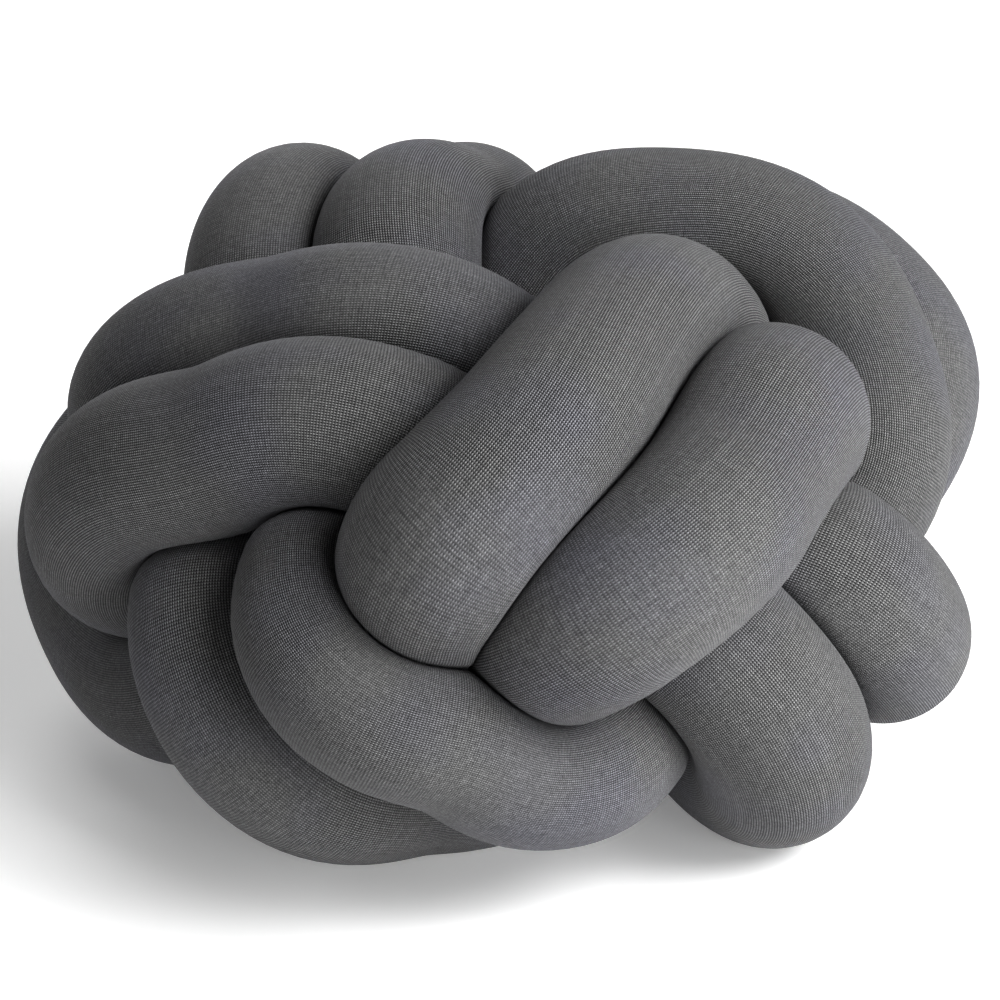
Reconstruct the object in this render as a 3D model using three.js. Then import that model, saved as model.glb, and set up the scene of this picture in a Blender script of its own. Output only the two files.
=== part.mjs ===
// Knot pouf: a round floor pouf tied from two long stuffed tubes of knitted cloth.
//
// The tubes lie side by side all the way and are tied as one: they go three times round the
// pouf and rise and dive four times on the way, over and under the turns that they meet.
// Each tube's two ends meet out of sight, so each tube is one closed ring.
//
// Millimetres and degrees, +Z up. The pouf stands on z = 0 with its middle over the origin,
// and its front, with the two bars that run up to the right, faces -Y.
import * as THREE from 'three';
import { mergeVertices } from 'three/addons/utils/BufferGeometryUtils.js';

// One tube: its own radius, and how far a squeezed place may swell sideways.
const TUBE_RADIUS = 48.5;
const MOST_SWELL = 1.08;

// The knot before it is tightened: its turns and loops, and the egg that it is laid on.
const TURNS = 3;
const LOOPS = 4;
const FIRST_AZIMUTH = -22;
const LOOP_LATITUDE = 55;
const EGG_RADIUS = 205;
const EGG_HALF_HEIGHT = 115;
const WEAVE_DEPTH = 52;
const HALF_PAIR = 48;
const LAY_HEIGHT = 180;

// Tightening: the tubes are drawn short while they push each other apart.
const STEPS = 160;
const TIGHTEN_ROUNDS = 500;
const DRAWN_BY_ROUND = 400;
const LOOSE_LENGTH = 4400;
const PULLED_LENGTH = 3250;
const TIGHT_SPACING = 100;
const TIGHT_FLOOR = 44;
const PUSH = 0.5;
const STIFFNESS = 0.25;
const STRETCH_PASSES = 5;
const STRETCH_SHARE = 0.25;
const NEXT_STEPS = 8;

// Resting: the tight knot sinks under its own weight, and its tubes press flat on each other.
const SINK = 0.8;
const MIDDLE_HEIGHT = 175;
const SETTLE_ROUNDS = 60;
const PRESSED_SPACING = 83;
const PRESSED_FLOOR = 43;
const HOLD = 0.12;

// Where this knot strays from an even one, as seen from the front.
// upper or lower tube of the pair, degrees along it, reach, right, back, up, fuller
const UPPER = 0;
const LOWER = 1;
const STRAYS = [
  // the two arches on the left, from their left ends up
  [UPPER, 212, 60, 30, 0, -37, 0],
  [UPPER, 275, 42, 0, 0, -22, 0],
  [LOWER, 205, 58, 16, 0, -36, 0],
  [LOWER, 266, 50, 0, 0, -38, 0],
  // the two bars across the front, from their lower ends up
  [UPPER, 1010, 40, -8, -8, -6, 3],
  [UPPER, 1060, 50, 4, 0, -2, 3],
  [UPPER, 10, 40, 26, -5, -4, 0],
  [UPPER, 40, 50, 58, 0, -28, 0],
  [LOWER, 1005, 45, -4, -4, 14, 1],
  [LOWER, 1055, 50, -3, 0, -22, 4],
  [LOWER, 15, 50, -4, -8, -70, 0],
  // the hook round the lower ends of the bars
  [UPPER, 605, 70, 72, -4, 4, -8],
  [UPPER, 655, 60, 16, 0, 30, -4],
  [UPPER, 690, 40, 14, 0, 10, 0],
  [LOWER, 612, 55, 41, -2, 2, 4],
  // the two humps at the back on the left
  [UPPER, 485, 40, 0, 0, 5, 0],
  [UPPER, 515, 50, 28, -10, -13, 3],
  [LOWER, 520, 45, 14, 0, 34, 5],
  // the two ends at the lower right
  [UPPER, 345, 40, -18, 0, 0, 0],
  [LOWER, 348, 45, 0, 0, -22, 3],
  [LOWER, 370, 35, -10, -10, 0, 0],
  // the turn at the far left
  [UPPER, 905, 60, -42, 0, 0, 0],
  [UPPER, 925, 40, 4, 0, -14, 0],
  [LOWER, 905, 60, -26, 0, 0, 0],
  // the large arches on the right
  [UPPER, 745, 45, -10, 0, 0, 0],
  [UPPER, 800, 50, -8, 0, 12, 2],
  [LOWER, 753, 45, 20, 0, 18, 0],
  [LOWER, 785, 35, 6, 0, 10, 0],
];

// The skin: rings of points along each tube, and the slit between two pressed tubes.
const RINGS = 200;
const SIDES = 16;
const SLIT = 3.5;
const EDGE_SOFTNESS = 5;
const BEND_ROOM = 0.8;
const LEAST_ROOM = 15;
const SWELL_PASSES = 3;

const CLOTH_GREY = 0x4a4a4c;

const radians = THREE.MathUtils.degToRad;
const TRAVEL = TURNS * 360;

// The way from one point of a closed row to the next, counted the short way round.
function stepsBetween(a, b, count) {
  const steps = Math.abs(a - b);
  return Math.min(steps, count - steps);
}

// The middle between the two tubes at an angle of travel, with the outward direction there.
function knotMiddle(travel) {
  const azimuth = radians(FIRST_AZIMUTH + travel);
  const swing = (radians(travel) * LOOPS) / TURNS;
  const latitude = radians(LOOP_LATITUDE) * Math.cos(swing);
  const point = new THREE.Vector3(
    EGG_RADIUS * Math.cos(latitude) * Math.cos(azimuth),
    EGG_RADIUS * Math.cos(latitude) * Math.sin(azimuth),
    EGG_HALF_HEIGHT * Math.sin(latitude),
  );
  const outward = new THREE.Vector3(
    point.x / EGG_RADIUS ** 2,
    point.y / EGG_RADIUS ** 2,
    point.z / EGG_HALF_HEIGHT ** 2,
  ).normalize();
  point.addScaledVector(outward, -WEAVE_DEPTH * Math.sin(2 * swing));
  return { point, outward };
}

// The loose knot: the upper and the lower tube, each a closed row of points.
function layKnot() {
  const degrees = TRAVEL / STEPS;
  const upper = [];
  const lower = [];
  for (let i = 0; i < STEPS; i += 1) {
    const here = knotMiddle(i * degrees);
    const before = knotMiddle((i - 1) * degrees).point;
    const after = knotMiddle((i + 1) * degrees).point;
    const forward = after.sub(before).normalize();
    const aside = here.outward.clone().cross(forward).normalize();
    const middle = here.point.add(new THREE.Vector3(0, 0, LAY_HEIGHT));
    upper.push(middle.clone().addScaledVector(aside, HALF_PAIR));
    lower.push(middle.clone().addScaledVector(aside, -HALF_PAIR));
  }
  return [upper, lower];
}

// Moves points that are closer than the spacing away from each other, half of the way.
function pushApart(tubes, spacing) {
  const points = tubes.flat();
  const moves = points.map((point, i) => {
    const move = new THREE.Vector3();
    let touching = 0;
    for (let j = 0; j < points.length; j += 1) {
      const sameTube = Math.floor(i / STEPS) === Math.floor(j / STEPS);
      if (sameTube && stepsBetween(i % STEPS, j % STEPS, STEPS) < NEXT_STEPS) continue;
      const dx = point.x - points[j].x;
      const dy = point.y - points[j].y;
      const dz = point.z - points[j].z;
      const apart = Math.sqrt(dx * dx + dy * dy + dz * dz);
      if (apart >= spacing) continue;
      const share = (spacing - apart) / apart;
      move.x += dx * share;
      move.y += dy * share;
      move.z += dz * share;
      touching += 1;
    }
    return move.multiplyScalar(PUSH / Math.max(touching, 1));
  });
  points.forEach((point, i) => point.add(moves[i]));
}

// How far each point is from the middle of its two neighbours.
function bulges(rows) {
  const count = rows.length;
  return rows.map((row, i) => {
    const before = rows[(i + count - 1) % count];
    const after = rows[(i + 1) % count];
    return before.clone().add(after).multiplyScalar(0.5).sub(row);
  });
}

// The stuffing evens out the bends, and the cloth draws the steps to one length.
function evenOut(tube, length) {
  bulges(bulges(tube)).forEach((bulge, i) => tube[i].addScaledVector(bulge, -STIFFNESS));
  for (let pass = 0; pass < STRETCH_PASSES; pass += 1) {
    const pulls = tube.map((point, i) => {
      const step = tube[(i + 1) % STEPS].clone().sub(point);
      return step.multiplyScalar(STRETCH_SHARE * (1 - length / STEPS / step.length()));
    });
    tube.forEach((point, i) => {
      point.add(pulls[i]);
      point.sub(pulls[(i + STEPS - 1) % STEPS]);
    });
  }
}

// Lets the tubes find their places, held back towards where they began.
function relax(tubes, { rounds, spacing, floor, hold, lengthAt }) {
  const home = tubes.map((tube) => tube.map((point) => point.clone()));
  for (let round = 0; round < rounds; round += 1) {
    tubes.forEach((tube, k) => tube.forEach((point, i) => point.lerp(home[k][i], hold)));
    pushApart(tubes, spacing);
    for (const tube of tubes) {
      for (const point of tube) point.z = Math.max(point.z, floor);
      evenOut(tube, lengthAt(round));
    }
  }
}

function lengthOf(tube) {
  return tube.reduce((sum, point, i) => sum + point.distanceTo(tube[(i + 1) % STEPS]), 0);
}

// Puts the middle of the knot over the origin, at its resting height, and flattens it.
function sink(tubes) {
  const middle = new THREE.Box3().setFromPoints(tubes.flat()).getCenter(new THREE.Vector3());
  for (const point of tubes.flat()) {
    point.sub(middle);
    point.z = point.z * SINK + MIDDLE_HEIGHT;
  }
}

// A soft bump: 1 at its middle, 0 at its reach and beyond, around the closed tube.
function bump(travel, at, reach) {
  const away = stepsBetween(travel, at, TRAVEL);
  return away < reach ? 0.5 + 0.5 * Math.cos((Math.PI * away) / reach) : 0;
}

function stray(tubes) {
  for (const [tube, at, reach, right, back, up] of STRAYS) {
    tubes[tube].forEach((point, i) => {
      const share = bump((i * TRAVEL) / STEPS, at, reach);
      point.add(new THREE.Vector3(right, back, up).multiplyScalar(share));
    });
  }
}

// The resting middle lines of the two tubes.
function tieKnot() {
  const tubes = layKnot();
  relax(tubes, {
    rounds: TIGHTEN_ROUNDS,
    spacing: TIGHT_SPACING,
    floor: TIGHT_FLOOR,
    hold: 0,
    lengthAt: (round) => THREE.MathUtils.lerp(
      LOOSE_LENGTH, PULLED_LENGTH, Math.min(1, round / DRAWN_BY_ROUND),
    ),
  });
  sink(tubes);
  stray(tubes);
  const restingLength = (lengthOf(tubes[UPPER]) + lengthOf(tubes[LOWER])) / 2;
  relax(tubes, {
    rounds: SETTLE_ROUNDS,
    spacing: PRESSED_SPACING,
    floor: PRESSED_FLOOR,
    hold: HOLD,
    lengthAt: () => restingLength,
  });
  return tubes;
}

// Rings across one tube: middle, radius, and the directions along and across the tube.
function ringsOf(line, tube) {
  const curve = new THREE.CatmullRomCurve3(line, true, 'catmullrom', 0.5);
  curve.arcLengthDivisions = STEPS * 10;
  const frames = curve.computeFrenetFrames(RINGS, true);
  const rings = [];
  for (let i = 0; i < RINGS; i += 1) {
    const fuller = STRAYS
      .filter((row) => row[0] === tube)
      .reduce((sum, row) => sum + row[6] * bump((i * TRAVEL) / RINGS, row[1], row[2]), 0);
    rings.push({
      tube,
      index: i,
      middle: curve.getPointAt(i / RINGS),
      along: frames.tangents[i],
      across: frames.binormals[i],
      beside: frames.normals[i],
      radius: TUBE_RADIUS + fuller,
    });
  }
  return rings;
}

// The planes that hem a ring in: about halfway to each ring of the tubes around it, further
// if it is the fuller one, and towards the inside of its own bend, where the cloth gathers.
function hemsOf(ring, rings, spacing) {
  const hems = [];
  const own = rings.filter((other) => other.tube === ring.tube);
  const near = Math.round((NEXT_STEPS * RINGS) / STEPS);
  for (const other of rings) {
    const steps = stepsBetween(ring.index, other.index, RINGS);
    if (other.tube === ring.tube && steps < near) continue;
    const way = other.middle.clone().sub(ring.middle);
    const apart = way.length();
    if (apart > 2.3 * TUBE_RADIUS) continue;
    const fuller = (ring.radius ** 2 - other.radius ** 2) / apart;
    hems.push({ way: way.divideScalar(apart), room: (apart + fuller - SLIT) / 2 });
  }
  const after = own[(ring.index + 1) % RINGS].along;
  const before = own[(ring.index + RINGS - 1) % RINGS].along;
  const turn = Math.max(ring.along.angleTo(after), ring.along.angleTo(before), 1e-6);
  hems.push({ way: after.clone().sub(before).normalize(), room: (BEND_ROOM * spacing) / turn });
  return hems;
}

// A minimum with a soft corner, never more than the smaller of the two.
function softMin(a, b, softness) {
  const share = THREE.MathUtils.clamp(0.5 + (0.5 * (b - a)) / softness, 0, 1);
  return b + (a - b) * share - softness * share * (1 - share);
}

// The radius of each side of a ring. A squeezed ring keeps its area by swelling elsewhere.
function radiiOf(ring, hems) {
  const rooms = [];
  for (let j = 0; j < SIDES; j += 1) {
    const angle = (2 * Math.PI * j) / SIDES;
    const side = ring.across.clone().multiplyScalar(Math.cos(angle));
    side.addScaledVector(ring.beside, Math.sin(angle));
    let room = Infinity;
    for (const hem of hems) {
      const facing = side.dot(hem.way);
      if (facing > 0.05) room = Math.min(room, hem.room / facing);
    }
    rooms.push({ side, room: Math.max(room, LEAST_ROOM) });
  }
  let full = ring.radius;
  let radii = [];
  for (let pass = 0; pass <= SWELL_PASSES; pass += 1) {
    radii = rooms.map(({ room }) => softMin(full, Math.min(room, 1000), EDGE_SOFTNESS));
    const area = radii.reduce((sum, radius) => sum + radius ** 2, 0) / SIDES;
    const swell = THREE.MathUtils.clamp(ring.radius / Math.sqrt(area), 1, MOST_SWELL);
    full = ring.radius * swell;
  }
  return rooms.map(({ side }, j) => side.multiplyScalar(radii[j]));
}

// A tube's closed skin. It starts as a torus, whose rings are then placed along the tube.
function tubeGeometry(rings, allRings) {
  const spacing = rings[0].middle.distanceTo(rings[1].middle);
  const torus = new THREE.TorusGeometry(2, 1, SIDES, RINGS);
  const corners = torus.attributes.position;
  rings.forEach((ring, i) => {
    const reaches = radiiOf(ring, hemsOf(ring, allRings, spacing));
    for (let j = 0; j <= SIDES; j += 1) {
      const corner = ring.middle.clone().add(reaches[j % SIDES]);
      corner.z = Math.max(corner.z, 0);
      corners.setXYZ(j * (RINGS + 1) + i, ...corner);
      if (i === 0) corners.setXYZ(j * (RINGS + 1) + RINGS, ...corner);
    }
  });
  torus.deleteAttribute('normal');
  torus.deleteAttribute('uv');
  const skin = mergeVertices(torus, 1e-4);
  skin.computeVertexNormals();
  return skin;
}

function buildPouf() {
  const names = ['tube_upper', 'tube_lower'];
  const rings = tieKnot().map((line, tube) => ringsOf(line, tube));
  const pouf = new THREE.Group();
  rings.forEach((ownRings, tube) => {
    const cloth = new THREE.MeshStandardMaterial({
      color: CLOTH_GREY,
      roughness: 0.95,
      metalness: 0,
    });
    const mesh = new THREE.Mesh(tubeGeometry(ownRings, rings.flat()), cloth);
    mesh.name = names[tube];
    pouf.add(mesh);
  });
  const middle = new THREE.Box3().setFromObject(pouf).getCenter(new THREE.Vector3());
  pouf.position.set(-middle.x, -middle.y, 0);
  pouf.updateMatrixWorld(true);
  return pouf;
}

export default buildPouf();
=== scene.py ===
# %% [markdown]
# # A knot pouf, tied and knitted in Blender
#
# The pouf is a floor seat tied from two long stuffed tubes of grey knitted cloth. The tubes lie
# side by side like the two strands of a doubled rope. They go three times round the pouf and
# swing up and down four times on the way, over and under each other in turn. Sailors call this
# knot a Turk's head.
#
# The cells below tie the knot from a formula, let the tubes settle against each other, press
# the skins flat where they meet, wrap each tube in a knit whose stitches follow the skin, and
# light it as a quiet studio would.

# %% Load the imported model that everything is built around
import math

import bmesh
import bpy
import numpy as np
from mathutils import Matrix, Vector


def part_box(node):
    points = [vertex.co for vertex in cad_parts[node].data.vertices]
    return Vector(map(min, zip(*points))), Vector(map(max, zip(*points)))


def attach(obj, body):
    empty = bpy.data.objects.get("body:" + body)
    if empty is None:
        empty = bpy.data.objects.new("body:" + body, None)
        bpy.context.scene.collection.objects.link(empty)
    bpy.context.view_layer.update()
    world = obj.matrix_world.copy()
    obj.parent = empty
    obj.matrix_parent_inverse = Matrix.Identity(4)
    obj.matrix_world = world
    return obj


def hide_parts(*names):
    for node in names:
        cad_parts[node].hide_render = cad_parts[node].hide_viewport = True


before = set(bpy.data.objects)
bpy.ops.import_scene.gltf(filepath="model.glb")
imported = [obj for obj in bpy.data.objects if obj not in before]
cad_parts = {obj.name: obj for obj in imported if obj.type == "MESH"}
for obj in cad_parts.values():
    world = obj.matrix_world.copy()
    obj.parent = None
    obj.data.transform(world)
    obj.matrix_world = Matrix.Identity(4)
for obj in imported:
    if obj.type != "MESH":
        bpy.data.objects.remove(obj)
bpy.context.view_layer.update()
print("nodes:", sorted(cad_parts))

# %% [markdown]
# ## The sizes of the tube and of the knot
#
# A real pouf of this kind starts as a tube about 97 mm thick. How the knot looks depends on few
# numbers: how many turns and loops it has, and the egg shape that it is tied around. Everything
# is worked out in millimetres, because that is how a maker measures cloth, and it becomes
# metres only when the mesh is made.

# %% Sizes in millimetres, angles in degrees
MM = 0.001

TUBE_RADIUS = 48.5
TURNS = 3                              # times round the pouf
LOOPS = 4                              # swings up and down in those turns
TRAVEL = TURNS * 360                   # from a tube's start back to its start
FIRST_AZIMUTH = -22                    # turns the whole knot to face as in the photograph
LOOP_LATITUDE = 55                     # how far up and down the egg each loop swings
EGG = np.array([205.0, 205.0, 115.0])  # half the egg's width, depth and height
WEAVE_DEPTH = 52                       # in to go under, and out to go over
HALF_PAIR = 48                         # from the middle path to each tube of the pair
LAY_HEIGHT = 180                       # the loose knot's middle above the floor
STEPS = 160                            # points along each tube
print(f"the knot: {TURNS} turns, {LOOPS} loops, laid with {STEPS} steps a tube")

# %% [markdown]
# ## Laying the loose knot
#
# A knot could be drawn by hand as a curve, point by point, but an over-and-under path is a pair
# of waves: one swings the strand up and down the egg, and one twice as fast pushes it inwards
# where it goes under and outwards where it goes over. Both tubes follow the same path, each
# shifted to one side of it, so one short formula lays the whole pouf.

# %% The middle path and the two loose tubes
def unit(rows):
    """Each row at a length of 1."""
    return rows / np.linalg.norm(rows, axis=-1, keepdims=True)


def lay_knot():
    """Two closed rows of points, upper tube first."""
    travel = np.arange(STEPS) * TRAVEL / STEPS
    azimuth = np.radians(FIRST_AZIMUTH + travel)
    swing = np.radians(travel) * LOOPS / TURNS
    latitude = np.radians(LOOP_LATITUDE) * np.cos(swing)
    level = np.stack([np.cos(latitude) * np.cos(azimuth),
                      np.cos(latitude) * np.sin(azimuth),
                      np.sin(latitude)], axis=1)
    outward = unit(level / EGG)
    middle = level * EGG - outward * WEAVE_DEPTH * np.sin(2 * swing)[:, None]
    forward = unit(np.roll(middle, -1, 0) - np.roll(middle, 1, 0))
    aside = unit(np.cross(outward, forward))
    middle[:, 2] += LAY_HEIGHT
    return np.stack([middle + aside * HALF_PAIR, middle - aside * HALF_PAIR])


loose = lay_knot()
print("loose knot spans in mm:", np.ptp(loose.reshape(-1, 3), axis=0).round())

# %% [markdown]
# ## Pulling the knot tight
#
# On the bench the maker lays the knot loosely, then works the slack out until every tube rests
# on its neighbours. A cloth simulation could do this, but two tubes of four metres that slide
# over each other are slow and hard to repeat. Here each tube is a row of points: points that are
# closer than one tube's width push each other apart, the stuffing evens out sharp bends, and
# the row is drawn shorter in every round. A few hundred rounds give a tight and smooth knot,
# the same one every time.

# %% Pushing apart
PUSH = 0.5        # the share of an overlap that one round takes away
NEXT_STEPS = 8    # points this near along the same tube leave each other alone
HAIR = 1e-9       # keeps a point's distance to itself above nothing


def close_kin(count, next_steps):
    """True for pairs of points that are near each other along the same tube."""
    index = np.tile(np.arange(count), 2)
    tube = np.repeat([0, 1], count)
    steps = np.abs(index[:, None] - index[None])
    steps = np.minimum(steps, count - steps)
    return (tube[:, None] == tube[None]) & (steps < next_steps)


KIN = close_kin(STEPS, NEXT_STEPS)


def push_apart(tubes, spacing):
    """Moves every point away from those that are closer than the spacing."""
    points = tubes.reshape(-1, 3)
    away = points[:, None] - points[None]
    apart = np.sqrt((away ** 2).sum(-1)) + HAIR
    overlap = np.where(KIN | (apart >= spacing), 0, spacing - apart)
    touching = np.maximum((overlap > 0).sum(1), 1)
    moves = (away * (overlap / apart)[..., None]).sum(1)
    return (points + PUSH * moves / touching[:, None]).reshape(tubes.shape)


print("each step leaves", int(KIN[0].sum()), "steps of its own tube alone")

# %% [markdown]
# Stuffing resists a kink, and cloth resists being stretched. The first is a step that takes a
# share of each sharp change of bend away. The second draws every gap between two points
# towards its fair share of the tube's length, a few times over.

# %% Evening out and drawing short
STIFFNESS = 0.25
STRETCH_PASSES = 5
STRETCH_SHARE = 0.25


def bulges(tubes):
    """How far each point lies from halfway between its two neighbours."""
    return (np.roll(tubes, -1, 1) + np.roll(tubes, 1, 1)) / 2 - tubes


def even_out(tubes, length):
    """Softens the bends, and draws each tube towards the length."""
    tubes = tubes - STIFFNESS * bulges(bulges(tubes))
    for _ in range(STRETCH_PASSES):
        step = np.roll(tubes, -1, 1) - tubes
        size = np.linalg.norm(step, axis=2, keepdims=True)
        pull = step * STRETCH_SHARE * (1 - length / STEPS / size)
        tubes = tubes + pull - np.roll(pull, 1, 1)
    return tubes


def lengths_of(tubes):
    """How long each tube's closed row of points is."""
    return np.linalg.norm(np.roll(tubes, -1, 1) - tubes, axis=2).sum(1)


print("loose tubes are", lengths_of(loose).round(), "mm long")

# %% [markdown]
# One routine serves both jobs that follow: tightening the loose knot, where nothing holds the
# tubes back, and settling the finished one, where each point is held near its place.

# %% Relaxing, and the tight knot
TIGHTEN_ROUNDS = 500
DRAWN_BY_ROUND = 400
LOOSE_LENGTH = 4400
PULLED_LENGTH = 3250
TIGHT_SPACING = 100    # between the middles of two tubes that touch
TIGHT_FLOOR = 44       # from a middle down to the floor


def relax(tubes, rounds, spacing, floor, hold, length_at):
    """Rounds of holding, pushing apart, resting on the floor and evening out."""
    home = tubes.copy()
    for step in range(rounds):
        tubes = tubes + hold * (home - tubes)
        tubes = push_apart(tubes, spacing)
        tubes[..., 2] = np.maximum(tubes[..., 2], floor)
        tubes = even_out(tubes, length_at(step))
    return tubes


def drawn_length(step):
    """The length that the tubes are drawn to in each round."""
    return LOOSE_LENGTH + (PULLED_LENGTH - LOOSE_LENGTH) * min(1, step / DRAWN_BY_ROUND)


tight = relax(loose, TIGHTEN_ROUNDS, TIGHT_SPACING, TIGHT_FLOOR, 0, drawn_length)
print("tight tubes are", lengths_of(tight).round(), "mm long")

# %% [markdown]
# ## Where this knot strays from an even one
#
# No two knots are tied alike. The table says where this one strays from an even knot: the
# tube, how many degrees of travel along it, how far the bump reaches, how far it is moved to
# the right, back and up, and how much fuller it is there. A soft bump spreads each stray over
# its reach, so no tube gets a kink.

# %% The strays
UPPER, LOWER = 0, 1

STRAYS = [
    # tube, degrees along, reach, right, back, up, fuller
    # the two arches on the left, from their left ends up
    (UPPER, 212, 60, 30, 0, -37, 0),
    (UPPER, 275, 42, 0, 0, -22, 0),
    (LOWER, 205, 58, 16, 0, -36, 0),
    (LOWER, 266, 50, 0, 0, -38, 0),
    # the two bars across the front, from their lower ends up
    (UPPER, 1010, 40, -8, -8, -6, 3),
    (UPPER, 1060, 50, 4, 0, -2, 3),
    (UPPER, 10, 40, 26, -5, -4, 0),
    (UPPER, 40, 50, 58, 0, -28, 0),
    (LOWER, 1005, 45, -4, -4, 14, 1),
    (LOWER, 1055, 50, -3, 0, -22, 4),
    (LOWER, 15, 50, -4, -8, -70, 0),
    # the hook round the lower ends of the bars
    (UPPER, 605, 70, 72, -4, 4, -8),
    (UPPER, 655, 60, 16, 0, 30, -4),
    (UPPER, 690, 40, 14, 0, 10, 0),
    (LOWER, 612, 55, 41, -2, 2, 4),
    # the two humps at the back on the left
    (UPPER, 485, 40, 0, 0, 5, 0),
    (UPPER, 515, 50, 28, -10, -13, 3),
    (LOWER, 520, 45, 14, 0, 34, 5),
    # the two ends at the lower right
    (UPPER, 345, 40, -18, 0, 0, 0),
    (LOWER, 348, 45, 0, 0, -22, 3),
    (LOWER, 370, 35, -10, -10, 0, 0),
    # the turn at the far left
    (UPPER, 905, 60, -42, 0, 0, 0),
    (UPPER, 925, 40, 4, 0, -14, 0),
    (LOWER, 905, 60, -26, 0, 0, 0),
    # the large arches on the right
    (UPPER, 745, 45, -10, 0, 0, 0),
    (UPPER, 800, 50, -8, 0, 12, 2),
    (LOWER, 753, 45, 20, 0, 18, 0),
    (LOWER, 785, 35, 6, 0, 10, 0),
]


def bump(travel, at, reach):
    """1 at its middle, falling softly to 0 at its reach, counted round the closed tube."""
    away = np.abs((travel - at + TRAVEL / 2) % TRAVEL - TRAVEL / 2)
    return np.where(away < reach, 0.5 + 0.5 * np.cos(np.pi * away / reach), 0)


print(len(STRAYS), "strays from an even knot")

# %% [markdown]
# ## Settling it as it lies
#
# A soft knot sinks under its own weight. So the tight knot is set on the floor a fifth flatter,
# the strays are added, and the tubes settle against each other once more, pressed closer than
# their own width, each point held near its place.

# %% The settled middle lines
SINK = 0.8             # the share of its height that the knot keeps
MIDDLE_HEIGHT = 175    # of the sunk knot, before it settles
SETTLE_ROUNDS = 60
PRESSED_SPACING = 83
PRESSED_FLOOR = 43
HOLD = 0.12            # the share of the way back to its place in each round


def settle(tubes):
    """Sinks the tight knot, adds its strays and lets it come to rest."""
    corners = tubes.reshape(-1, 3)
    tubes = tubes - (corners.min(0) + corners.max(0)) / 2
    tubes = tubes * [1, 1, SINK] + [0, 0, MIDDLE_HEIGHT]
    travel = np.arange(STEPS) * TRAVEL / STEPS
    for tube, at, reach, right, back, up, _ in STRAYS:
        tubes[tube] += bump(travel, at, reach)[:, None] * np.array([right, back, up])
    resting_length = lengths_of(tubes).mean()
    return relax(tubes, SETTLE_ROUNDS, PRESSED_SPACING, PRESSED_FLOOR, HOLD,
                 lambda step: resting_length)


resting = settle(tight)
print("resting tubes are", lengths_of(resting).round(), "mm long")

# %% [markdown]
# ## Finer middle lines
#
# The settled rows have a point every 27 mm, far too few for smooth cloth. A closed row of points
# is the sum of a few waves, so a Fourier transform gives the points in between without any
# kink, and the line is then cut into rings of equal length.

# %% Rings at equal steps along each tube
RINGS = 720
SIDES = 96
FINER = 40    # points on the fine line for each settled one


def fine_line(row):
    """The middles of the rings, and the length of the whole line."""
    waves = np.fft.rfft(row, axis=0)
    count = len(row) * FINER
    finer = np.zeros((count // 2 + 1, 3), complex)
    finer[:len(waves)] = waves
    line = np.fft.irfft(finer, n=count, axis=0) * FINER
    line = np.vstack([line, line[:1]])
    walked = np.concatenate([[0], np.cumsum(np.linalg.norm(np.diff(line, axis=0), axis=1))])
    length = walked[-1]
    places = np.arange(RINGS) * length / RINGS
    return np.stack([np.interp(places, walked, line[:, k]) for k in range(3)], axis=1), length


middles, tube_lengths = zip(*(fine_line(row) for row in resting))
middles = np.stack(middles)
print(f"{RINGS} rings a tube, one every {tube_lengths[0] / RINGS:.1f} mm")

# %% [markdown]
# ## Directions across the tube
#
# Each ring needs two directions across the tube. Taking them from the bend of the curve would
# twist the knit wildly, so the first pair is carried from ring to ring and only tilted with
# the tube, as cloth does. What is left over when the loop closes is spread over all rings.

# %% Carrying the directions along
def carried(side, along):
    """The side direction, tilted until it is square to the tube."""
    side = side - along * np.dot(side, along)
    return side / np.linalg.norm(side)


def directions(line):
    """Unit vectors along, beside and across each ring."""
    count = len(line)
    along = unit(np.roll(line, -1, 0) - np.roll(line, 1, 0))
    beside = np.zeros_like(line)
    beside[0] = carried(np.cross(along[0], [0, 0, 1]), along[0])
    for i in range(1, count):
        beside[i] = carried(beside[i - 1], along[i])
    across = np.cross(along, beside)
    last = carried(beside[-1], along[0])
    leftover = math.atan2(np.dot(last, across[0]), np.dot(last, beside[0]))
    turn = (-leftover * np.arange(count) / count)[:, None]
    beside = beside * np.cos(turn) + across * np.sin(turn)
    return along, beside, np.cross(along, beside)


frames = [directions(line) for line in middles]
print("directions carried round both tubes")

# %% [markdown]
# ## How full each ring is
#
# Stuffing is never spread quite evenly. The last column of the table of strays says where this
# pouf's tubes are fuller or slimmer than the plain tube, by a few millimetres of radius.

# %% The free radius of each ring
def free_radii():
    """The radius of each ring of both tubes where nothing presses on it."""
    travel = np.arange(RINGS) * TRAVEL / RINGS
    radii = np.full((2, RINGS), TUBE_RADIUS)
    for tube, at, reach, _, _, _, fuller in STRAYS:
        radii[tube] += fuller * bump(travel, at, reach)
    return radii


fullness = free_radii()
print(f"tubes are {fullness.min():.1f} to {fullness.max():.1f} mm in radius where nothing presses")

# %% [markdown]
# ## Where the tubes press on each other
#
# Two stuffed tubes that are pressed together share a flat wall about halfway between their
# middles, nearer the slimmer one. So each side of each ring may reach out to its full radius,
# or to the nearest such wall, whichever comes first. A cloth simulation with pressure would
# press them flat too, but a wall that both skins share keeps them apart without any test for
# collisions.
#
# The walls are looked for ring by ring. Only rings of other turns count, because the next rings
# of the same tube are part of the same smooth skin.

# %% The room round each ring
SLIT = 0.7                    # left open between two skins, in mm
REACH = 2.3 * TUBE_RADIUS     # rings whose middles are further apart aren't looked at
LEAST_FACING = 0.05           # a side turned further away than this meets no wall
FAR = 1000.0                  # the room of a side that meets no wall


def side_directions(tube):
    """The direction of each side of each ring."""
    angle = 2 * np.pi * np.arange(SIDES) / SIDES
    _, beside, across = frames[tube]
    return (beside[:, None] * np.cos(angle)[None, :, None]
            + across[:, None] * np.sin(angle)[None, :, None])


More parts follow.
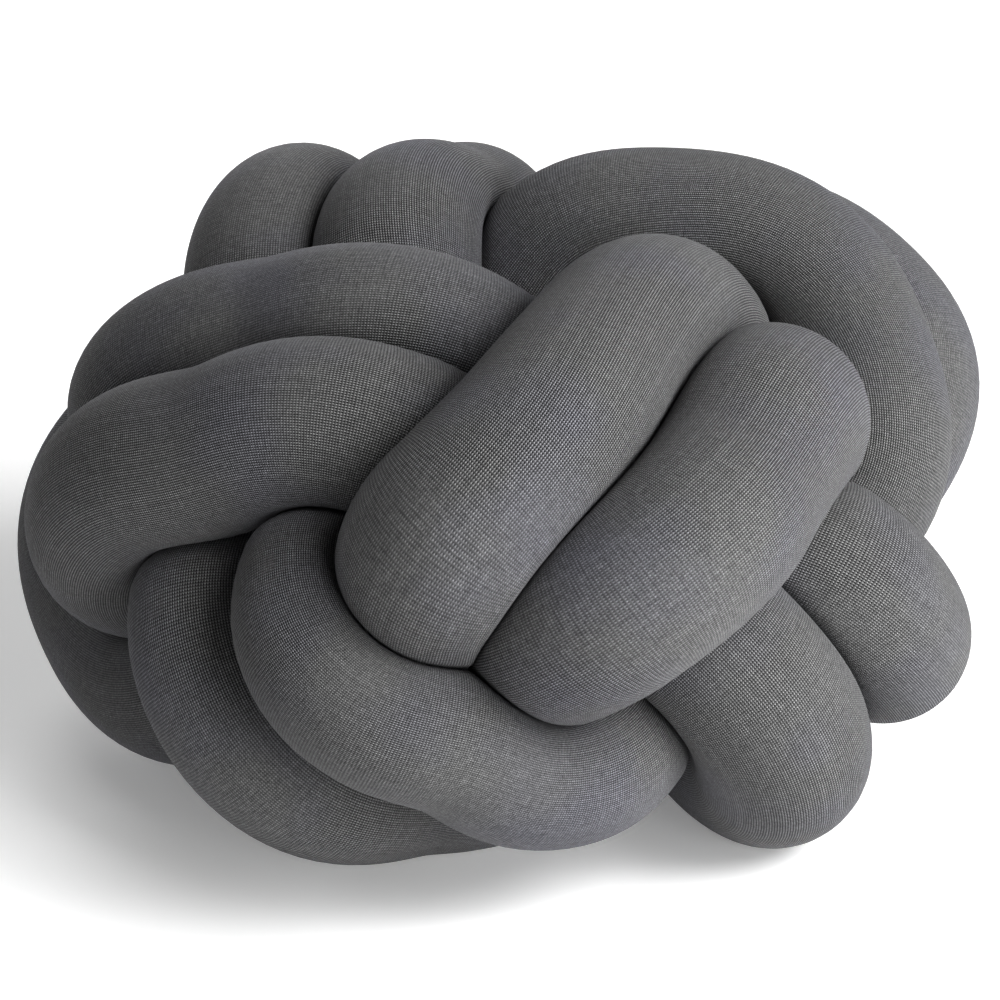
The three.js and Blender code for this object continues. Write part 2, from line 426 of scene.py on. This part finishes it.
def room_round(tube, sides):
    """How far each side of each ring can reach before it meets a wall."""
    line = middles[tube]
    others = middles.reshape(-1, 3)
    radii = fullness.reshape(-1)
    near = round(NEXT_STEPS * RINGS / STEPS)
    step = np.arange(RINGS)
    room = np.full((RINGS, SIDES), FAR)
    for i in range(RINGS):
        way = others - line[i]
        apart = np.linalg.norm(way, axis=1)
        steps = np.minimum(np.abs(step - i), RINGS - np.abs(step - i))
        meets = apart < REACH
        meets[tube * RINGS:(tube + 1) * RINGS] &= steps >= near
        if not meets.any():
            continue
        apart = apart[meets]
        wall = (apart - SLIT + (fullness[tube, i] ** 2 - radii[meets] ** 2) / apart) / 2
        facing = sides[i] @ (way[meets] / apart[:, None]).T
        reaches = wall / np.maximum(facing, LEAST_FACING)
        room[i] = np.where(facing > LEAST_FACING, reaches, FAR).min(1)
    return room


print(f"walls are looked for within {REACH:.0f} mm of each ring's middle")

# %% [markdown]
# A tube that bends sharply is also short of room on the inside of its own bend, where the
# cloth gathers. The tighter the bend, the nearer its centre, and no skin may reach past it.

# %% The room inside a bend
BEND_ROOM = 0.8       # the share of the way to the bend's centre that a skin may fill
LEAST_BEND = 1e-4     # straighter than this, a tube has all the room it wants
LEAST_ROOM = 15       # no side is pushed in closer to the middle than this


def bend_room(tube, sides):
    """Room towards the inside of the tube's own bend."""
    along = frames[tube][0]
    spacing = tube_lengths[tube] / RINGS
    bend = (np.roll(along, -1, 0) - np.roll(along, 1, 0)) / (2 * spacing)
    facing = np.einsum("isk,ik->is", sides, bend)
    return np.where(facing > LEAST_BEND, BEND_ROOM / np.maximum(facing, LEAST_BEND), FAR)


def sides_and_room(tube):
    """The directions of a tube's sides, and the least of their rooms."""
    sides = side_directions(tube)
    room = np.minimum(room_round(tube, sides), bend_room(tube, sides))
    print(f"tube {tube}: {(room < TUBE_RADIUS).mean():.0%} of the skin is pressed by a wall")
    return sides, np.maximum(room, LEAST_ROOM)


sides_and_rooms = [sides_and_room(tube) for tube in (UPPER, LOWER)]

# %% [markdown]
# ## The skins
#
# A hard minimum of the two reaches would leave a sharp edge all along each wall. Stuffed cloth
# turns over such an edge in a soft curve, so a minimum with a rounded corner is used. Stuffing
# that is squeezed away from a wall makes the rest of the ring a little fuller, so the ring
# nearly keeps its area.

# %% Soft edges, and the skin points
EDGE_SOFTNESS = 5
SWELL_PASSES = 3
MOST_SWELL = 1.08    # cloth stretches no more than this over its free radius


def soft_min(a, b, softness):
    """The lesser of the two, rounded where they are nearly equal."""
    share = np.clip(0.5 + 0.5 * (b - a) / softness, 0, 1)
    return b + (a - b) * share - softness * share * (1 - share)


def skin_points(tube):
    """The point on the skin for each side of each ring, never below the floor."""
    sides, room = sides_and_rooms[tube]
    full = fullness[tube][:, None]
    radii = soft_min(full, room, EDGE_SOFTNESS)
    for _ in range(SWELL_PASSES):
        area = (radii ** 2).mean(1, keepdims=True)
        swell = np.clip(full / np.sqrt(area), 1, MOST_SWELL)
        radii = soft_min(full * swell, room, EDGE_SOFTNESS)
    points = middles[tube][:, None] + sides * radii[..., None]
    points[..., 2] = np.maximum(points[..., 2], 0)
    return points


skins = [skin_points(tube) for tube in (UPPER, LOWER)]
print("each skin has", RINGS * SIDES, "points")

# %% [markdown]
# The pouf's frame has its origin in the middle of the footprint, on the floor. So the skins
# are moved until the middle of their box is there, and turned to metres.

# %% Over the origin, in metres
corners = np.concatenate([skin.reshape(-1, 3) for skin in skins])
shift = -(corners.min(0) + corners.max(0)) / 2
shift[2] = 0
skins = [(skin + shift) * MM for skin in skins]
print("skins span in mm:", np.ptp(corners, axis=0).round(1), "shifted by", shift.round(1))

# %% [markdown]
# ## From points to a closed tube
#
# The skin could be written as lists of vertices and faces. Blender's spin does it better: it
# turns a circle once round an axis into a closed ring of quads, a torus. Spin slows down with
# many steps, so it makes a few wide bands, and subdivide cuts each band into rings. A closed
# tube is a torus, however it is knotted.

# %% Spinning a blank ring
BANDS = 120
RING_RADIUS = 4.0       # the blank's own size doesn't matter, because every vertex is moved
SECTION_RADIUS = 1.0


def turn_between(first, second):
    """The angle round the spin's axis between two vertices."""
    return abs(Vector(first.co.xy).angle_signed(Vector(second.co.xy)))


def spun_ring():
    """A torus with as many rings and sides as a tube's skin."""
    ring = bmesh.new()
    section = bmesh.ops.create_circle(ring, cap_ends=False, segments=SIDES, radius=SECTION_RADIUS)
    upright = Matrix.Rotation(math.pi / 2, 3, "X")
    bmesh.ops.rotate(ring, verts=section["verts"], cent=(0, 0, 0), matrix=upright)
    bmesh.ops.translate(ring, verts=section["verts"], vec=(RING_RADIUS, 0, 0))
    bmesh.ops.spin(ring, geom=ring.verts[:] + ring.edges[:], cent=(0, 0, 0), axis=(0, 0, 1),
                   angle=2 * math.pi, steps=BANDS, use_merge=True)
    turned = 2 * math.pi / BANDS
    lengthwise = [edge for edge in ring.edges if turn_between(*edge.verts) > turned / 2]
    bmesh.ops.subdivide_edges(ring, edges=lengthwise, cuts=RINGS // BANDS - 1)
    return ring


blank_ring = spun_ring()
print("blank ring:", len(blank_ring.verts), "vertices,", len(blank_ring.faces), "faces")

# %% [markdown]
# Each vertex of the torus says by its place which ring and which side it is. The merge at the
# end of the spin leaves edges and faces in another order in each run, which shows in nothing
# but the saved files. Sorting them by place makes each run give the same mesh to the last face.

# %% The place of each vertex, and everything in order
def places_on(ring):
    """The ring number and the side number of each vertex of the spun ring."""
    corner = np.array([vert.co for vert in ring.verts])
    turn = np.arctan2(corner[:, 1], corner[:, 0])
    outwards = np.hypot(corner[:, 0], corner[:, 1]) - RING_RADIUS
    tilt = np.arctan2(corner[:, 2], outwards)
    ring_number = np.rint(turn / (2 * np.pi) * RINGS).astype(int) % RINGS
    side_number = np.rint(tilt / (2 * np.pi) * SIDES).astype(int) % SIDES
    return ring_number, side_number


def corner_key(part):
    """A number that sorts edges and faces by their first and last vertex."""
    corners = [vert.index for vert in part.verts]
    return min(corners) * RINGS * SIDES + max(corners)


def put_in_order(ring):
    """Lists vertices ring by ring and side by side, and edges and faces after them."""
    ring_number, side_number = places_on(ring)
    place = ring_number * SIDES + side_number
    ring.verts.index_update()
    ring.verts.sort(key=lambda vert: place[vert.index])
    ring.verts.index_update()
    ring.edges.sort(key=corner_key)
    ring.faces.sort(key=corner_key)


put_in_order(blank_ring)
print("places used:", len(set(zip(*places_on(blank_ring)))), "of", RINGS * SIDES)

# %% [markdown]
# Now each vertex is moved to its point on the skin. Each tube takes its own copy of the blank
# ring. Moving the vertices can turn it inside out, so its normals are worked out again, and its
# volume tells whether they face outwards.

# %% Laying the ring on each skin
def tube_mesh(name, skin):
    """A closed tube's mesh, with the ring and side number of each vertex."""
    ring = blank_ring.copy()
    ring_number, side_number = places_on(ring)
    for vert, i, j in zip(ring.verts, ring_number, side_number):
        vert.co = skin[i, j]
    bmesh.ops.recalc_face_normals(ring, faces=ring.faces[:])
    if ring.calc_volume(signed=True) < 0:
        bmesh.ops.reverse_faces(ring, faces=ring.faces[:])
    mesh = bpy.data.meshes.new(name)
    ring.to_mesh(mesh)
    litres = ring.calc_volume() * 1000
    ring.free()
    print(f"{name}: {len(mesh.vertices)} vertices, {len(mesh.polygons)} faces,",
          f"{litres:.1f} litres")
    return mesh, ring_number, side_number


names = ("knit_tube_upper", "knit_tube_lower")
blanks = [tube_mesh(name, skin) for name, skin in zip(names, skins)]

# %% [markdown]
# ## A map for the knit
#
# A knit has a direction: its columns of stitches, the wales, run along the tube, and its rows,
# the courses, run round it. A pattern on plain object coordinates would cut across the bends,
# so each tube gets a UV map that is measured along the skin: U is the way round the tube and
# V the way along it, both in metres of unstretched cloth. Both lengths hold a whole number of
# stitches, so the pattern closes without a seam, and where the tube bends the stitches open
# on the outside and close on the inside, as real ones do. A single knit from a round machine
# also twists a little as it is stuffed, so the wales wind round the tube on the way, twice in
# one tube and once, the other way, in the other.
#
# Real stitches of such cloth are about 1.1 mm across. They are drawn as 1.4 mm by 1.15 mm,
# as coarse as they need to be to show as stitches in a picture of the whole pouf.

# %% Stitch sizes and the map
WALE = 1.4
COURSE = 1.15
WALES = round(2 * math.pi * TUBE_RADIUS / WALE)
SPIRAL_TURNS = (2, -1)
MAP_NAME = "knit_map"


def counted_on(numbers, count):
    """The numbers of each face's corners, counted on past the last where the tube closes."""
    closes = np.ptp(numbers, axis=1, keepdims=True) > count / 2
    return np.where(closes & (numbers < count / 2), numbers + count, numbers).ravel()


def add_knit_map(mesh, ring_number, side_number, length, spiral_turns):
    """Lays the unstretched cloth on a tube's mesh."""
    courses = round(length / COURSE)
    loop_vertex = np.zeros(len(mesh.loops), int)
    mesh.loops.foreach_get("vertex_index", loop_vertex)
    corner_ring = counted_on(ring_number[loop_vertex].reshape(-1, 4), RINGS)
    corner_side = counted_on(side_number[loop_vertex].reshape(-1, 4), SIDES)
    turns = corner_side / SIDES + spiral_turns * corner_ring / RINGS
    round_it = turns * WALES * WALE * MM
    along_it = corner_ring / RINGS * courses * COURSE * MM
    layer = mesh.uv_layers.new(name=MAP_NAME)
    layer.data.foreach_set("uv", np.stack([round_it, along_it], axis=1).ravel())
    print(f"{mesh.name}: {WALES} wales round the tube, {courses} courses along it")


def make_tube(name, tube):
    """A smooth knitted tube, as an object of the scene."""
    mesh, ring_number, side_number = blanks[tube]
    add_knit_map(mesh, ring_number, side_number, tube_lengths[tube], SPIRAL_TURNS[tube])
    mesh.shade_smooth()
    piece = bpy.data.objects.new(name, mesh)
    bpy.context.scene.collection.objects.link(piece)
    return piece


knit_upper = make_tube(names[UPPER], UPPER)
knit_lower = make_tube(names[LOWER], LOWER)

# %% [markdown]
# ## Colours and a helper for nodes
#
# Colours are written as sRGB hex values, as a colour chart gives them, and turned to the linear
# values that the renderer works with. One small function adds a node, sets its values and
# joins its inputs, which keeps a material readable from top to bottom.

# %% Hex colours, an empty material and the node helper
def linear(hex_colour):
    """The linear values of an sRGB hex colour, with an alpha of 1."""
    parts = [int(hex_colour[k:k + 2], 16) / 255 for k in (1, 3, 5)]
    return (*(part / 12.92 if part <= 0.04045 else ((part + 0.055) / 1.055) ** 2.4
              for part in parts), 1.0)


def new_material(name):
    """A material with no nodes yet."""
    material = bpy.data.materials.new(name)
    material.use_nodes = True
    material.node_tree.nodes.clear()
    return material


def add_node(tree, kind, inputs=None, **settings):
    """Adds one node. An input is a plain value, an output, or a node for its first output."""
    node = tree.nodes.new(kind)
    for key, value in settings.items():
        setattr(node, key, value)
    for key, value in (inputs or {}).items():
        if isinstance(value, bpy.types.Node):
            value = value.outputs[0]
        if isinstance(value, bpy.types.NodeSocket):
            tree.links.new(value, node.inputs[key])
        else:
            node.inputs[key].default_value = value
    return node


print("middle grey #808080 in linear light:", [round(v, 3) for v in linear("#808080")[:3]])

# %% [markdown]
# ## The knit
#
# The cloth is a fine single jersey, knitted on a round machine from a soft-spun wool and
# nylon yarn and stretched over the stuffing. Each stitch is a small V: two legs of yarn that
# lean together, with a dark gap between one wale and the next. At arm's length the eye sees
# pale dots in a fine grid, long lines along the tube where the light comes from the side,
# and a faint bloom of loose fibres at the edges. The pattern could be an image, but a few
# sums on the knit map draw it at any size.
#
# Two waves make a stitch. One is high on the legs and low between the wales, and one is high
# on each course, leaning with the legs. Where both are high, the yarn is on top.

# %% The height of one stitch
MATH = "ShaderNodeMath"
FULL_TURN = 2 * math.pi
LEG_SLANT = 0.9    # courses that a leg would lean over a whole wale
BOTH_SHARE, LEG_SHARE, ROW_SHARE = 0.5, 0.3, 0.2


def wave(tree, turns, shape):
    """A wave from 0 to 1 that comes back with every whole turn."""
    angle = add_node(tree, MATH, {0: turns, 1: FULL_TURN}, operation="MULTIPLY")
    swing = add_node(tree, MATH, {0: angle}, operation=shape)
    return add_node(tree, MATH, {0: swing, 1: 0.5, 2: 0.5}, operation="MULTIPLY_ADD")


def stitch_height(tree, across, along):
    """0 in the gaps between stitches, 1 on top of the yarn."""
    part = add_node(tree, MATH, {0: across}, operation="FRACT")
    aside = add_node(tree, MATH, {0: part, 1: 0.5}, operation="SUBTRACT")
    from_middle = add_node(tree, MATH, {0: aside}, operation="ABSOLUTE")
    slanted = add_node(tree, MATH, {0: from_middle, 1: LEG_SLANT, 2: along},
                       operation="MULTIPLY_ADD")
    row = wave(tree, slanted, "SINE")
    leg = wave(tree, from_middle, "COSINE")
    both = add_node(tree, MATH, {0: leg, 1: row}, operation="MULTIPLY")
    some_row = add_node(tree, MATH, {0: row, 1: ROW_SHARE}, operation="MULTIPLY")
    some = add_node(tree, MATH, {0: leg, 1: LEG_SHARE, 2: some_row}, operation="MULTIPLY_ADD")
    return add_node(tree, MATH, {0: both, 1: BOTH_SHARE, 2: some}, operation="MULTIPLY_ADD")


print(f"each leg of a stitch leans {LEG_SLANT * COURSE / 2:.1f} mm over half a wale")

# %% [markdown]
# ### Uneven yarn
#
# No two stitches are quite alike. Each needle of the machine pulls its wale a little tighter
# or looser than the next, and the yarn itself runs thick and thin, which shows as short
# streaks round the tube. White noise on the number of the wale and of the stitch gives the
# first, and a noise that is stretched along the courses gives the second. Wales are counted
# round the closed tube, so the count meets itself again where the tube closes.

# %% How light each stitch is against its neighbours
NEEDLE_SPREAD = 0.07
STITCH_SPREAD = 0.12
SLUB_SPREAD = 0.2
SLUB_STITCHES = 9


def about_one(tree, noise, spread):
    """A noise from 0 to 1, turned to a factor from 1 - spread to 1 + spread."""
    return add_node(tree, MATH, {0: noise, 1: 2 * spread, 2: 1 - spread},
                    operation="MULTIPLY_ADD")


def stitch_tone(tree, across, along):
    """A factor for each stitch: its needle's, its own, and that of its stretch of yarn."""
    wale_number = add_node(tree, MATH, {0: across}, operation="FLOOR")
    wale = add_node(tree, MATH, {0: wale_number, 1: WALES}, operation="FLOORED_MODULO")
    course = add_node(tree, MATH, {0: along}, operation="FLOOR")
    needle = add_node(tree, "ShaderNodeTexWhiteNoise", {"W": wale}, noise_dimensions="1D")
    place = add_node(tree, "ShaderNodeCombineXYZ", {"X": wale, "Y": course})
    stitch = add_node(tree, "ShaderNodeTexWhiteNoise", {"Vector": place}, noise_dimensions="2D")
    stretched = add_node(tree, MATH, {0: across, 1: SLUB_STITCHES}, operation="DIVIDE")
    slub_place = add_node(tree, "ShaderNodeCombineXYZ", {"X": stretched, "Y": along})
    slub = add_node(tree, "ShaderNodeTexNoise", {
        "Vector": slub_place, "Scale": 1.0, "Detail": 1.0}, noise_dimensions="2D")
    by_stitch = add_node(tree, MATH, {
        0: about_one(tree, needle, NEEDLE_SPREAD),
        1: about_one(tree, stitch, STITCH_SPREAD)}, operation="MULTIPLY")
    return add_node(tree, MATH, {0: by_stitch, 1: about_one(tree, slub, SLUB_SPREAD)},
                    operation="MULTIPLY")


print(f"a thick or thin stretch of yarn is about {SLUB_STITCHES * WALE:.0f} mm long")

# %% [markdown]
# ### Yarn colour, and the painted shade of the gaps
#
# The yarn is spun from darker and lighter grey fibres, so it is mottled at the scale of a
# stitch, and broad cloudy patches lean a little to violet. Gaps between stitches are painted
# nearly black as painted shade, because little light gets out of them.

# %% The colour of the yarn, and the painted shade of the gaps
# painted shade: the gaps between stitches are coloured nearly black, for the little light that
# gets out of them
GAP_PAINTED_SHADE = "#0a0a0b"
YARN_GREY = "#a3a3a3"
VIOLET_GREY = "#a0a0ac"
CLOUD_SIZE = 90
CLOUD_FROM, CLOUD_TO = 0.45, 0.7    # where in the noise a cloud begins, and where it is full
MOST_VIOLET = 0.6


def yarn_colour(tree, place):
    """Grey that turns a little violet in broad clouds."""
    clouds = add_node(tree, "ShaderNodeTexNoise", {
        "Vector": place, "Scale": 1 / (CLOUD_SIZE * MM), "Detail": 2.0, "Roughness": 0.5})
    hue = add_node(tree, "ShaderNodeMapRange", {
        "Value": clouds, "From Min": CLOUD_FROM, "From Max": CLOUD_TO, "To Max": MOST_VIOLET})
    return add_node(tree, "ShaderNodeMix", {
        "Factor": hue, "A": linear(YARN_GREY), "B": linear(VIOLET_GREY)}, data_type="RGBA")


print("yarn in linear light:", [round(v, 3) for v in linear(YARN_GREY)[:3]])

# %% [markdown]
# ### Nap and fibres
#
# Handling raises a nap: in some places loose fibres veil the stitches, in others they stand
# clear. A broad noise draws each stitch towards the middle tone there, while the mottle of
# the single fibres, a fine noise, stays the same all over.

# %% How light the cloth is at each point
NAP_SIZE = 130
NAP_SHIFT = (3.4, 8.7, 0)            # slides the noise until the bars' lower ends are veiled
NAP_VEILED, NAP_CLEAR = 0.4, 0.58    # where in the noise stitches are veiled most, and not
NAP_LEAST = 0.45                     # how much of a stitch still shows under the veil
MIDDLE_LIGHT = 0.38                  # the tone that the veil draws them to
FIBRE_SIZE = 1.3
FIBRE_SPREAD = 0.5


def napped_stitches(tree, place, across, along):
    """The stitch height, drawn towards the middle tone where a nap veils it."""
    nap_place = add_node(tree, "ShaderNodeMapping", {"Vector": place, "Location": NAP_SHIFT})
    nap = add_node(tree, "ShaderNodeTexNoise", {
        "Vector": nap_place, "Scale": 1 / (NAP_SIZE * MM), "Detail": 1.0, "Roughness": 0.5})
    clearness = add_node(tree, "ShaderNodeMapRange", {
        "Value": nap, "From Min": NAP_VEILED, "From Max": NAP_CLEAR, "To Min": NAP_LEAST})
    bare = add_node(tree, MATH, {0: stitch_height(tree, across, along), 1: MIDDLE_LIGHT},
                    operation="SUBTRACT")
    return add_node(tree, MATH, {0: bare, 1: clearness, 2: MIDDLE_LIGHT},
                    operation="MULTIPLY_ADD")


def cloth_light(tree, place, across, along):
    """0 in the deepest gap, which is painted in full shade, about 1 on the lightest yarn."""
    fibres = add_node(tree, "ShaderNodeTexNoise", {
        "Vector": place, "Scale": 1 / (FIBRE_SIZE * MM), "Detail": 2.0, "Roughness": 0.6})
    tone = add_node(tree, MATH, {
        0: stitch_tone(tree, across, along),
        1: about_one(tree, fibres, FIBRE_SPREAD)}, operation="MULTIPLY")
    return add_node(tree, MATH, {
        0: napped_stitches(tree, place, across, along), 1: tone}, operation="MULTIPLY")


print(f"napped patches are about {NAP_SIZE} mm across, fibres {FIBRE_SIZE} mm long")

# %% [markdown]
# ### The whole material
#
# One value, how light the cloth is at a point, does two jobs: it mixes the painted shade of the
# gaps with the yarn, and it raises the yarn by a bump. Wool scatters light almost evenly, so the
# cloth is rough with hardly any gloss, and the loose fibres on top give it a pale sheen where
# it turns away.

# %% The knit material
STITCH_DEPTH = 0.7
BUMP_STRENGTH = 0.8


def make_knit():
    """Fine jersey knit of soft-spun wool and nylon: dull, with a pale bloom at grazing view."""
    material = new_material("wool_jersey_knit")
    tree = material.node_tree
    knit_map = add_node(tree, "ShaderNodeUVMap", uv_map=MAP_NAME)
    parts = add_node(tree, "ShaderNodeSeparateXYZ", {0: knit_map})
    across = add_node(tree, MATH, {0: parts.outputs["X"], 1: WALE * MM}, operation="DIVIDE")
    along = add_node(tree, MATH, {0: parts.outputs["Y"], 1: COURSE * MM}, operation="DIVIDE")
    place = add_node(tree, "ShaderNodeTexCoord").outputs["Object"]
    light = cloth_light(tree, place, across, along)
    # painted shade: where the light value is low, the colour is drawn to the nearly black of the
    # gaps
    colour = add_node(tree, "ShaderNodeMix", {
        "Factor": light, "A": linear(GAP_PAINTED_SHADE), "B": yarn_colour(tree, place).outputs[2]},
        data_type="RGBA", clamp_factor=False)
    relief = add_node(tree, "ShaderNodeBump", {
        "Height": light, "Strength": BUMP_STRENGTH, "Distance": STITCH_DEPTH * MM})
    shader = add_node(tree, "ShaderNodeBsdfPrincipled", {
        "Base Color": colour.outputs[2], "Normal": relief,
        "Roughness": 0.95, "Specular IOR Level": 0.2, "Sheen Weight": 0.3,
        "Sheen Roughness": 0.4, "Sheen Tint": linear("#c8c8cc")})
    add_node(tree, "ShaderNodeOutputMaterial", {"Surface": shader})
    return material


knit = make_knit()
for piece in (knit_upper, knit_lower):
    piece.data.materials.append(knit)
print("knit has", len(knit.node_tree.nodes), "nodes")

# %% [markdown]
# ## Tying the pieces to the model
#
# Each fine tube stands for the plain solid of the same tube, which is hidden, and moves with the
# one body of the pouf. How far its box differs from the solid's is printed.

for piece, node in ((knit_upper, "tube_upper"), (knit_lower, "tube_lower")):
    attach(piece, "root")
    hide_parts(node)
    low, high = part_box(node)
    corner = np.array([vert.co for vert in piece.data.vertices])
    print(f"{piece.name}: box differs from {node} by",
          (1000 * np.abs(corner.min(0) - low)).round(1),
          (1000 * np.abs(corner.max(0) - high)).round(1))

# %% [markdown]
# ## The floor
#
# A pouf stands on the floor, so it gets a plain pale one, large enough that its edge lies at
# the horizon when the pouf is seen from low down. It is rough and almost white, and throws
# soft light back up. A studio lights such a floor from below or all along its edges until it
# is nearly as white as paper; a faint glow of the paint does the same here, and keeps the
# shadow under the pouf soft.

# %% A pale floor
FLOOR_HALF = 60.0
FLOOR_GLOW = 0.26


def white_floor_paint():
    """Matt emulsion paint, rolled on: even and off-white, with next to no gloss."""
    material = new_material("matt_white_paint")
    shader = add_node(material.node_tree, "ShaderNodeBsdfPrincipled", {
        "Base Color": linear("#f4f4f4"), "Roughness": 0.9, "Specular IOR Level": 0.1,
        "Emission Color": linear("#ffffff"), "Emission Strength": FLOOR_GLOW})
    add_node(material.node_tree, "ShaderNodeOutputMaterial", {"Surface": shader})
    return material


def make_floor():
    """One flat square at a height of 0."""
    sheet = bmesh.new()
    bmesh.ops.create_grid(sheet, x_segments=1, y_segments=1, size=FLOOR_HALF)
    mesh = bpy.data.meshes.new("studio_floor")
    sheet.to_mesh(mesh)
    sheet.free()
    mesh.materials.append(white_floor_paint())
    floor = bpy.data.objects.new("studio_floor", mesh)
    bpy.context.scene.collection.objects.link(floor)
    return floor


floor = make_floor()
print("floor is", 2 * FLOOR_HALF, "m wide")

# %% [markdown]
# ## Studio light
#
# The photograph was lit softly from the right: the right sides of the tubes are light, the
# left sides dim, and the creases nearly black. One lamp would leave hard edges, and a bright
# world would fill the creases. Softboxes set round the pouf at one distance can be mixed like
# paint: their strengths were weighed against each other until the tubes shaded alike. Weaker
# ones on the left and behind let the pouf be seen from all sides.

# %% Lights round the pouf
POUF_MIDDLE = Vector((0.0, 0.0, 0.18))
LIGHT_DISTANCE = 3.2
LIGHT_SIZE = 1.6

SOFTBOXES = [
    # name, degrees to the right of the front, degrees above the floor, watts
    ("key_right", 70, 30, 60),
    ("low_right_front", 35, 8, 62),
    ("high_right_front", 50, 42, 82),
    ("left_fill", -35, 8, 10),
    ("left_back", -115, 15, 14),
    ("back_left", -150, 45, 26),
    ("low_back", -170, 12, 35),
]


def hang_lamp(name, place, power):
    """A square soft light at a place. It shines straight down until it is turned."""
    lamp = bpy.data.lights.new(name, "AREA")
    lamp.shape = "SQUARE"
    lamp.size = LIGHT_SIZE
    lamp.energy = power
    holder = bpy.data.objects.new(name, lamp)
    holder.location = place
    bpy.context.scene.collection.objects.link(holder)
    return holder


def add_softbox(name, to_the_right, above, power):
    """A light placed by its angles from the front of the pouf, and turned to face it."""
    round_it, up = math.radians(to_the_right), math.radians(above)
    way = Vector((math.sin(round_it) * math.cos(up), -math.cos(round_it) * math.cos(up),
                  math.sin(up)))
    softbox = hang_lamp(name, POUF_MIDDLE + way * LIGHT_DISTANCE, power)
    softbox.rotation_euler = (-way).to_track_quat("-Z", "Y").to_euler()
    return softbox


softboxes = [add_softbox(*row) for row in SOFTBOXES]
print("softboxes:", [softbox.name for softbox in softboxes])

# %% [markdown]
# ### The backdrop and the print
#
# Far behind the pouf the floor would fall off to grey. One more lamp hangs over it there,
# with a grid in front that keeps its light in a beam, off the pouf. White walls give back a
# very little light from everywhere. The picture is then printed a little hard, as studio
# pictures are: creases go deeper, the floor whiter.

# %% A lamp for the floor behind, the room's own light, and the tone of the print
BACKDROP_PLACE = (0, 3.6, 2.5)
BACKDROP_BEAM = math.radians(75)
BACKDROP_POWER = 10
ROOM_LIGHT = 0.02
PRINT_GAMMA = 0.76

backdrop_lamp = hang_lamp("backdrop_lamp", BACKDROP_PLACE, BACKDROP_POWER)
backdrop_lamp.data.spread = BACKDROP_BEAM

world = bpy.data.worlds.new("white_studio")
world.use_nodes = True
walls = world.node_tree.nodes["Background"]
walls.inputs["Color"].default_value = linear("#ffffff")
walls.inputs["Strength"].default_value = ROOM_LIGHT
bpy.context.scene.world = world

print_tone = bpy.context.scene.view_settings
print_tone.view_transform = "Standard"
print_tone.gamma = PRINT_GAMMA
print("backdrop lamp stands", backdrop_lamp.location.y, "m behind the pouf")

# %% [markdown]
# ## The camera
#
# The photograph looks at the pouf from straight in front and about 21 degrees above, with a
# long lens. The camera stands 1.65 m from a point in the pouf's middle, so that the near and
# far tubes have the right sizes next to each other.

# %% A long lens from the front and above
CAMERA_ELEVATION = math.radians(21)
CAMERA_DISTANCE = 1650
AIM_HEIGHT = 161
SENSOR = 36.0
MM_PER_PIXEL = 0.62    # at the point aimed at
FRAME_PIXELS = 1000
NEAREST_SEEN = 0.05

aim = Vector((shift[0], shift[1], AIM_HEIGHT)) * MM
back = Vector((0, -math.cos(CAMERA_ELEVATION), math.sin(CAMERA_ELEVATION)))
lens = bpy.data.cameras.new("camera")
lens.sensor_width = SENSOR
lens.lens = SENSOR * CAMERA_DISTANCE / (MM_PER_PIXEL * FRAME_PIXELS)
lens.clip_start = NEAREST_SEEN
camera = bpy.data.objects.new("camera", lens)
camera.location = aim + back * CAMERA_DISTANCE * MM
camera.rotation_euler = (math.pi / 2 - CAMERA_ELEVATION, 0, 0)
bpy.context.scene.collection.objects.link(camera)
bpy.context.scene.camera = camera
print(f"lens {lens.lens:.1f} mm at {CAMERA_DISTANCE / 1000} m")

# %% [markdown]
# ## The size
#
# The knitted tubes have to fill the same box as the plain solids they stand for, apart from a
# few millimetres; how far the boxes differ is printed where the tubes are tied to the model.
# Last, the scene is brought up to date.

# %% Bring the scene up to date
bpy.context.view_layer.update()
